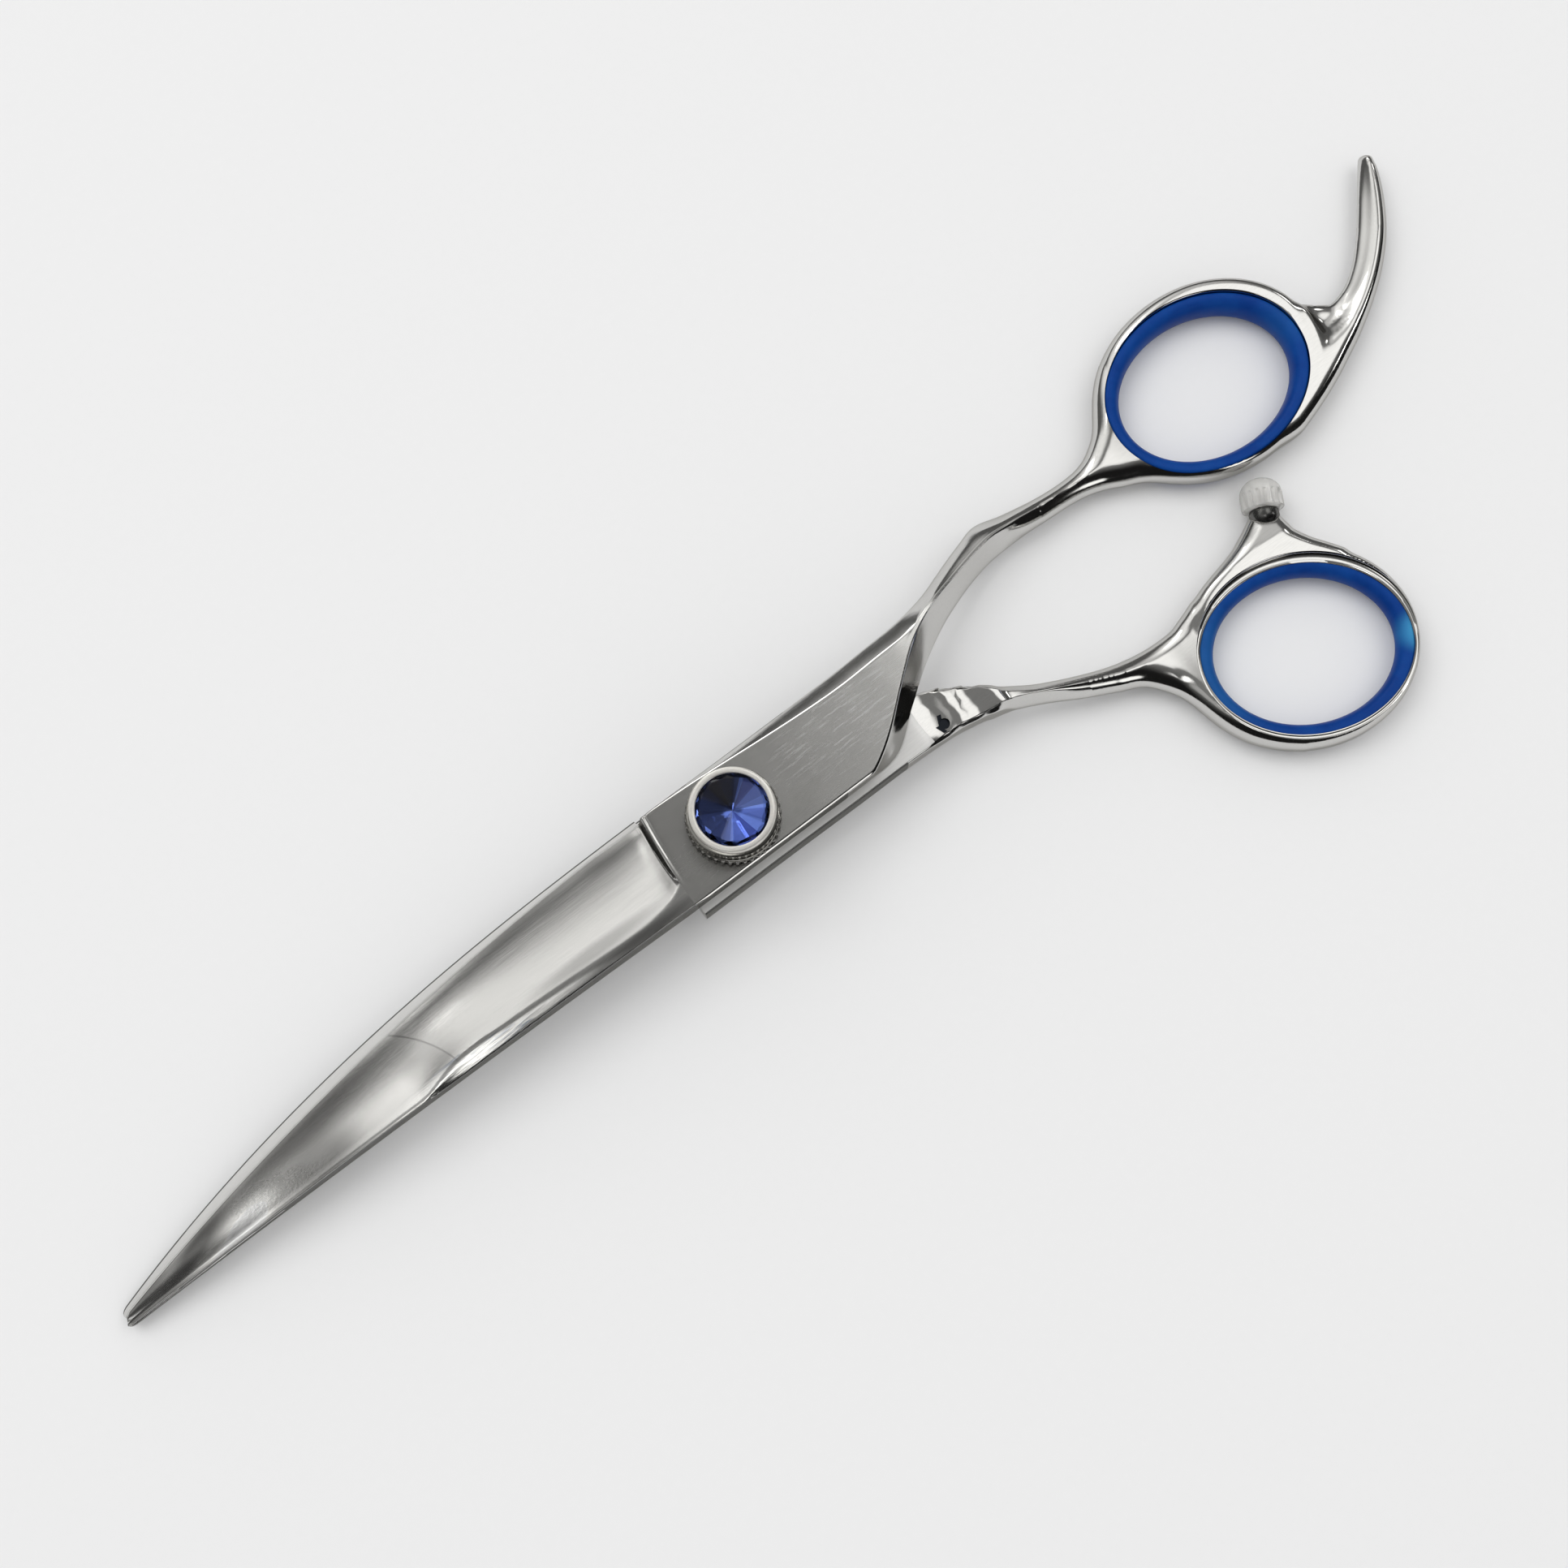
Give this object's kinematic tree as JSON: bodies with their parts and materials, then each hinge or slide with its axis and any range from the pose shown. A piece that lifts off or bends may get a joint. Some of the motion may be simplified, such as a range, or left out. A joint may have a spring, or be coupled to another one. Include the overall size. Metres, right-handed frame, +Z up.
{
  "type": "hair cutting shears",
  "caption": "Right-handed hair cutting shears with gently curved blades, offset ring handles, soft ring inserts, a finger rest, a bumper and a jewelled tension dial on the pivot.",
  "frame": {"origin": "on the pivot axis, at the flat underside of the pivot post", "axes": "+X from the pivot towards the handles, +Y towards the finger ring, +Z up the pivot axis towards the jewel"},
  "size_m": [0.201, 0.0575, 0.016],
  "materials": {
    "polished_steel": "polished, with fine grinding marks",
    "insert_rubber": "smooth satin",
    "clear_silicone": "clear, soft",
    "satin_steel": "satin",
    "bezel_steel": "satin plated",
    "bearing_brass": "machined",
    "washer_plastic": "smooth",
    "spring_steel": "bright drawn",
    "jewel_glass": "cut and polished",
    "jewel_back": "foiled"
  },
  "bodies": {
    "finger_side": {"finger_half": "polished_steel", "finger_insert": "insert_rubber", "bearing_bushing": "bearing_brass", "ride_washer": "washer_plastic"},
    "thumb_side": {"thumb_half": "polished_steel", "thumb_insert": "insert_rubber", "bumper_stud": "satin_steel", "bumper_cap": "clear_silicone", "pivot_post": "satin_steel", "post_key": "satin_steel", "post_washer": "washer_plastic", "click_plate": "satin_steel", "wave_spring": "spring_steel", "retaining_ring": "spring_steel"},
    "dial": {"tension_dial": "satin_steel", "dial_nut": "bearing_brass", "detent_ball": "spring_steel", "detent_spring": "spring_steel", "jewel_bezel": "bezel_steel", "jewel_foil": "jewel_back", "jewel": "jewel_glass"}
  },
  "joints": [
    {"name": "blade_pivot", "type": "hinge", "parent": "finger_side", "child": "thumb_side", "pos_m": [0, 0, 0.00445], "axis": [0, 0, -1], "range_deg": [0, 65]},
    {"name": "dial_turn", "type": "hinge", "parent": "thumb_side", "child": "dial", "pos_m": [0, 0, 0.0105], "axis": [0, 0, 1], "range_deg": [-90, 90]}
  ]
}
